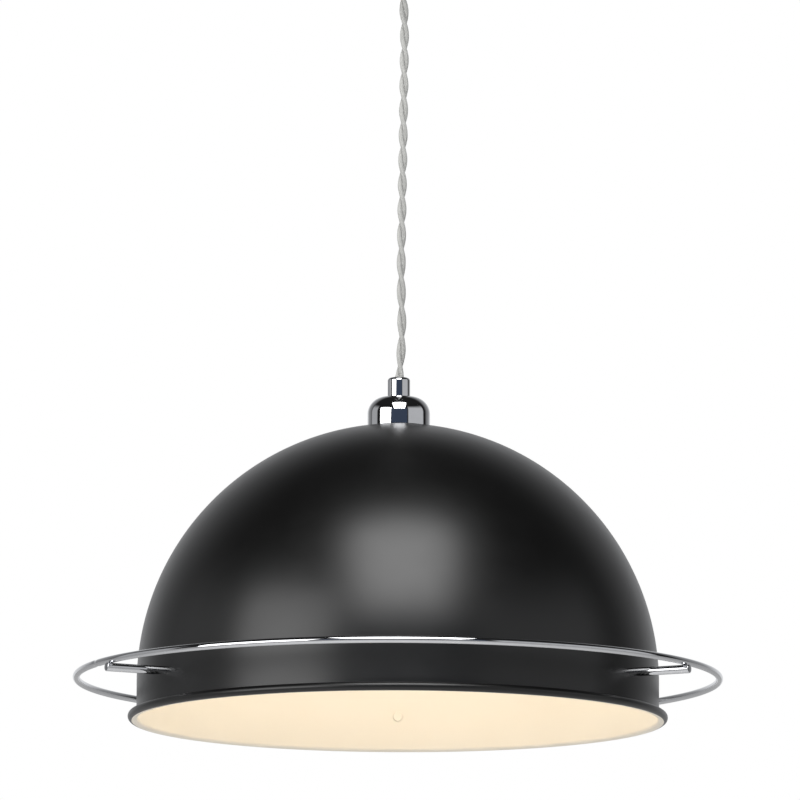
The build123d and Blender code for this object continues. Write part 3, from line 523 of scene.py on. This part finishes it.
def halo():
    """Round bar bent to a circle, its ends butted and dressed, with the weld just visible."""
    sides, steps = 28, 720
    verts, faces = [], []
    for k in range(steps):
        turned = 360.0 * k / steps
        off = (turned - SEAM_ANGLE + 180.0) % 360.0 - 180.0
        radius = BAR_R - SEAM_DEPTH * max(0.0, 1.0 - (off / SEAM_WIDTH) ** 2 / 4)
        out = Vector((sin(radians(turned)), -cos(radians(turned)), 0.0))
        for s in range(sides):
            around = 2 * pi * s / sides
            up = Vector((0.0, 0.0, HALO_Z + radius * sin(around)))
            verts.append(out * (HALO_R + radius * cos(around)) + up)
    for k in range(steps):
        here, there = k * sides, (k + 1) % steps * sides
        for s in range(sides):
            t = (s + 1) % sides
            faces.append((here + s, here + t, there + t, there + s))
    return new_object("halo_ring_bar", verts, faces, [plate])


ring = halo()
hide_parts("halo_ring")
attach(ring, "lamp")

ROD_EDGE = 0.5 * MM
for rod_name, angle in ROD_ANGLES.items():
    length = ROD_END_R - SHADE_R
    outline = rounded(
        [(0.0, 0.0), (ROD_R, 0.0), (ROD_R, length), (0.0, length)], [0.0, 0.0, ROD_EDGE, 0.0], steps=5
    )
    rod = lathe(rod_name + "_bar", outline, [plate], segments=48, closed=False)
    out = Vector((sin(radians(angle)), -cos(radians(angle)), 0.0))
    turn = out.to_track_quat("Z", "Y").to_matrix().to_4x4()
    rod.data.transform(Matrix.Translation(out * SHADE_R + Vector((0.0, 0.0, ROD_Z))) @ turn)
    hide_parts(rod_name)
    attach(rod, "lamp")

# ================================================================ lampholder outside
COVER_R = cover_high.x
COVER_SHOULDER = 12.0 * MM
STEM_R = 4.95 * MM

cover_outline = rounded(
    [
        (COVER_R, cover_low.z), (COVER_R, cover_high.z), (STEM_R, cover_high.z),
        (STEM_R, cover_high.z - SHEET), (COVER_R - SHEET, cover_high.z - SHEET),
        (COVER_R - SHEET, cover_low.z),
    ],
    [0.25 * MM, COVER_SHOULDER, 0.0, 0.0, COVER_SHOULDER - SHEET, 0.25 * MM],
    steps=16,
)
cover = lathe("holder_cover_cup", cover_outline, [plate], segments=160)
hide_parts("holder_cover")
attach(cover, "lamp")

FERRULE_R = ferrule_high.x
FLEX_BORE_R = 3.45 * MM
ferrule_outline = rounded(
    [
        (FERRULE_R, ferrule_low.z), (FERRULE_R, ferrule_high.z),
        (FLEX_BORE_R, ferrule_high.z), (FLEX_BORE_R, ferrule_low.z),
    ],
    [0.3 * MM, 2.2 * MM, 0.8 * MM, 0.0],
)
ferrule = lathe("ferrule_sleeve", ferrule_outline, [plate], segments=128)
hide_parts("cord_grip_ferrule")
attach(ferrule, "lamp")

# ================================================================ ceiling fitting outside
CUP_R = cup_high.x
cup_outline = rounded(
    [
        (CUP_R, cup_high.z), (CUP_R - SHEET, cup_high.z), (CUP_R - SHEET, cup_low.z + SHEET),
        (STEM_R, cup_low.z + SHEET), (STEM_R, cup_low.z), (CUP_R, cup_low.z),
    ],
    [0.2 * MM, 0.2 * MM, 4.0 * MM, 0.0, 0.0, 5.0 * MM],
    steps=10,
)
cup = lathe("ceiling_cup_shell", cup_outline, [plate], segments=160)
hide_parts("ceiling_cup")
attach(cup, "ceiling_mount")

GRIP_R = grip_high.x
grip_outline = rounded(
    [
        (GRIP_R, cup_low.z), (STEM_R, cup_low.z), (STEM_R, grip_high.z),
        (FLEX_BORE_R, grip_high.z), (FLEX_BORE_R, grip_low.z), (GRIP_R, grip_low.z),
    ],
    [0.2 * MM, 0.0, 0.4 * MM, 0.0, 1.0 * MM, 1.6 * MM],
)
grip = lathe("ceiling_grip_body", grip_outline, [plate], segments=96)
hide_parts("cup_cord_grip")
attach(grip, "ceiling_mount")

# ================================================================ bulb
opal = material("opal_glass", (0.95, 0.92, 0.86), roughness=0.25)
vary_colour(opal, 60.0, (0.94, 0.91, 0.85), (0.96, 0.93, 0.88))
glow(opal, (1.0, 0.955, 0.89), 10.6)

# ================================================================ materials of the CAD nodes that stay
MATERIALS = {
    "bracket_steel": bare_metal("zinc_steel", (0.50, 0.51, 0.53), (0.62, 0.63, 0.64), 0.36),
    "screw_steel": bare_metal("screw_zinc", (0.55, 0.56, 0.58), (0.68, 0.69, 0.70), 0.28),
    "cap_metal": bare_metal("nickel_brass", (0.62, 0.60, 0.55), (0.74, 0.72, 0.67), 0.25),
    "brass": bare_metal("plain_brass", (0.62, 0.42, 0.16), (0.78, 0.56, 0.24), 0.28),
    "nylon": moulding("natural_nylon", (0.78, 0.77, 0.72), (0.86, 0.85, 0.80), 0.45),
    "core_pvc": moulding("core_insulation", (0.16, 0.07, 0.03), (0.22, 0.10, 0.05), 0.5),
    "holder_moulding": moulding("black_moulding", (0.018, 0.018, 0.018), (0.028, 0.028, 0.028), 0.45),
    "ceramic": moulding("steatite", (0.80, 0.79, 0.74), (0.88, 0.87, 0.83), 0.3),
    "black_glass": moulding(
        "insulator_glass", (0.008, 0.008, 0.009), (0.014, 0.014, 0.015), 0.12, depth=0.00001
    ),
    "stem_glass": moulding("stem_glass", (0.80, 0.84, 0.82), (0.88, 0.90, 0.88), 0.08, depth=0.00001),
    "light_strip": moulding("phosphor", (0.80, 0.50, 0.12), (0.90, 0.60, 0.18), 0.6),
    "opal_glass": opal,
    "chrome": plate,
    "halo_chrome": plate,
    "shade_paint": black,
    "cream_paint": cream,
    "flex_braid": braid,
}
slots = {row["node"]: row["material_slot"] for row in frame["record"]["subparts"]}
for name, cad in frame["nodes"].items():
    if cad.hide_render:
        continue
    finish = MATERIALS[slots[name]]
    for place in cad.material_slots:
        place.link = "OBJECT"
        place.material = finish

# ================================================================ studio
FLOOR_Z = -2.3
FLOOR_HALF = 40.0
FLOOR_GLOW = 0.33


def floor_paint():
    """Pale floor, brightened as if lit all over by the room. It shows only from above, so that
    the light can be seen from underneath."""
    made = material("studio_floor", (0.86, 0.86, 0.86), roughness=0.8)
    glow(made, (1.0, 1.0, 1.0), FLOOR_GLOW)
    bump(made, 3.0, 0.002, 0.2)
    side = node(made, "ShaderNodeNewGeometry")
    clear = node(made, "ShaderNodeBsdfTransparent")
    mix = node(made, "ShaderNodeMixShader")
    link(made, side, "Backfacing", mix, "Fac")
    link(made, made.node_tree.nodes["Principled BSDF"], "BSDF", mix, 1)
    link(made, clear, "BSDF", mix, 2)
    link(made, mix, "Shader", made.node_tree.nodes["Material Output"], "Surface")
    return made


floor_mesh = bpy.data.meshes.new("studio_floor")
floor_mesh.from_pydata(
    [(-FLOOR_HALF, -FLOOR_HALF, FLOOR_Z), (FLOOR_HALF, -FLOOR_HALF, FLOOR_Z),
     (FLOOR_HALF, FLOOR_HALF, FLOOR_Z), (-FLOOR_HALF, FLOOR_HALF, FLOOR_Z)],
    [],
    [(0, 1, 2, 3)],
)
floor_mesh.materials.append(floor_paint())
floor = bpy.data.objects.new("studio_floor", floor_mesh)
bpy.context.scene.collection.objects.link(floor)


def softbox(name, azimuth, elevation, wide, tall, radiance, distance=2.4):
    """Area light facing the shade. Angles in degrees as seen from the shade: azimuth from the
    front, to the right positive. wide and tall are the angles it fills, radiance its brightness."""
    data = bpy.data.lights.new(name, "AREA")
    data.shape = "RECTANGLE"
    data.size = 2 * distance * tan(radians(wide / 2))
    data.size_y = 2 * distance * tan(radians(tall / 2))
    data.energy = radiance * pi * data.size * data.size_y
    lamp = bpy.data.objects.new(name, data)
    bpy.context.scene.collection.objects.link(lamp)
    level, turned = radians(elevation), radians(azimuth)
    direction = Vector((cos(level) * sin(turned), -cos(level) * cos(turned), sin(level)))
    lamp.location = Vector((0.0, 0.0, EQUATOR_Z)) + direction * distance
    lamp.rotation_mode = "QUATERNION"
    lamp.rotation_quaternion = direction.to_track_quat("Z", "Y")
    lamp.visible_camera = False
    return lamp


softbox("key", azimuth=2.4, elevation=46.5, wide=38.0, tall=42.5, radiance=6.2)
softbox("left", azimuth=-51.0, elevation=14.0, wide=42.0, tall=36.0, radiance=3.8)

world = bpy.data.worlds.new("studio")
bpy.context.scene.world = world
world.use_nodes = True
tree = world.node_tree
tree.nodes.clear()


def calc(operation, *values):
    """Math node on sockets or numbers."""
    made = tree.nodes.new("ShaderNodeMath")
    made.operation = operation
    for i, value in enumerate(values):
        if isinstance(value, (int, float)):
            made.inputs[i].default_value = value
        else:
            tree.links.new(value, made.inputs[i])
    return made.outputs[0]


def step_up(value, start, end):
    """0 below start, 1 above end, smooth between."""
    made = tree.nodes.new("ShaderNodeMapRange")
    made.interpolation_type = "SMOOTHSTEP"
    tree.links.new(value, made.inputs["Value"])
    made.inputs["From Min"].default_value = start
    made.inputs["From Max"].default_value = end
    return made.outputs["Result"]


def band(value, start, full, fading, gone):
    """1 between full and fading, 0 outside start and gone."""
    return calc("MULTIPLY", step_up(value, start, full), calc("SUBTRACT", 1.0, step_up(value, fading, gone)))


place = tree.nodes.new("ShaderNodeTexCoord")
parts = tree.nodes.new("ShaderNodeSeparateXYZ")
tree.links.new(place.outputs["Generated"], parts.inputs["Vector"])
across, away, upward = parts.outputs
azimuth = calc("DEGREES", calc("ARCTAN2", across, calc("MULTIPLY", away, -1.0)))
elevation = calc("DEGREES", calc("ARCSINE", upward))
# Angles in degrees: where each field of light starts, is full, fades and is gone.
RIGHT_WALL, RIGHT_LIGHT = (33.0, 38.0, 100.0, 106.0), 0.66
LEFT_WALL, LEFT_LIGHT = (-122.0, -114.0, -90.0, -84.0), 0.52
WALL_TOP = (20.0, 38.0)
WRAP_AWAY, WRAP_LIGHT = (0.35, 0.70), 0.32          # how far a direction points to the back, 0 to 1
BEHIND_AWAY, BEHIND_LIGHT = (0.72, 0.98), 0.50
BEHIND_TOP = (36.0, 60.0)
OVERHEAD_FROM, OVERHEAD_LIGHT = (30.0, 55.0), 0.005
EVEN_LIGHT = 0.015
FRONT_ACROSS = (-30.0, -26.0, 30.0, 33.0)
FRONT_UP = (-40.0, -15.0, 15.0, 30.0)

low_wall = calc("SUBTRACT", 1.0, step_up(elevation, *WALL_TOP))
low_behind = calc("SUBTRACT", 1.0, step_up(elevation, *BEHIND_TOP))
right_wall = calc("MULTIPLY", calc("MULTIPLY", band(azimuth, *RIGHT_WALL), low_wall), RIGHT_LIGHT)
left_wall = calc("MULTIPLY", calc("MULTIPLY", band(azimuth, *LEFT_WALL), low_wall), LEFT_LIGHT)
wrap = calc("MULTIPLY", calc("MULTIPLY", step_up(away, *WRAP_AWAY), low_behind), WRAP_LIGHT)
behind = calc("MULTIPLY", calc("MULTIPLY", step_up(away, *BEHIND_AWAY), low_behind), BEHIND_LIGHT)
overhead = calc("MULTIPLY", step_up(elevation, *OVERHEAD_FROM), OVERHEAD_LIGHT)
walls = calc("ADD", right_wall, left_wall)
backs = calc("ADD", wrap, behind)
strength = calc("ADD", calc("ADD", walls, backs), calc("ADD", overhead, EVEN_LIGHT))
front = calc("MULTIPLY", band(azimuth, *FRONT_ACROSS), band(elevation, *FRONT_UP))

around = tree.nodes.new("ShaderNodeBackground")
around.inputs["Color"].default_value = (0.97, 0.98, 1.0, 1.0)
tree.links.new(strength, around.inputs["Strength"])
room = tree.nodes.new("ShaderNodeBackground")
room.inputs["Color"].default_value = (0.045, 0.065, 0.11, 1.0)
tree.links.new(front, room.inputs["Strength"])
both = tree.nodes.new("ShaderNodeAddShader")
tree.links.new(around.outputs["Background"], both.inputs[0])
tree.links.new(room.outputs["Background"], both.inputs[1])
seen = tree.nodes.new("ShaderNodeBackground")
seen.inputs["Color"].default_value = (1.0, 1.0, 1.0, 1.0)
ray = tree.nodes.new("ShaderNodeLightPath")
pick = tree.nodes.new("ShaderNodeMixShader")
output = tree.nodes.new("ShaderNodeOutputWorld")
tree.links.new(ray.outputs["Is Camera Ray"], pick.inputs["Fac"])
tree.links.new(both.outputs["Shader"], pick.inputs[1])
tree.links.new(seen.outputs["Background"], pick.inputs[2])
tree.links.new(pick.outputs["Shader"], output.inputs["Surface"])

bpy.context.scene.view_settings.view_transform = "Standard"
bpy.context.scene.view_settings.look = "None"
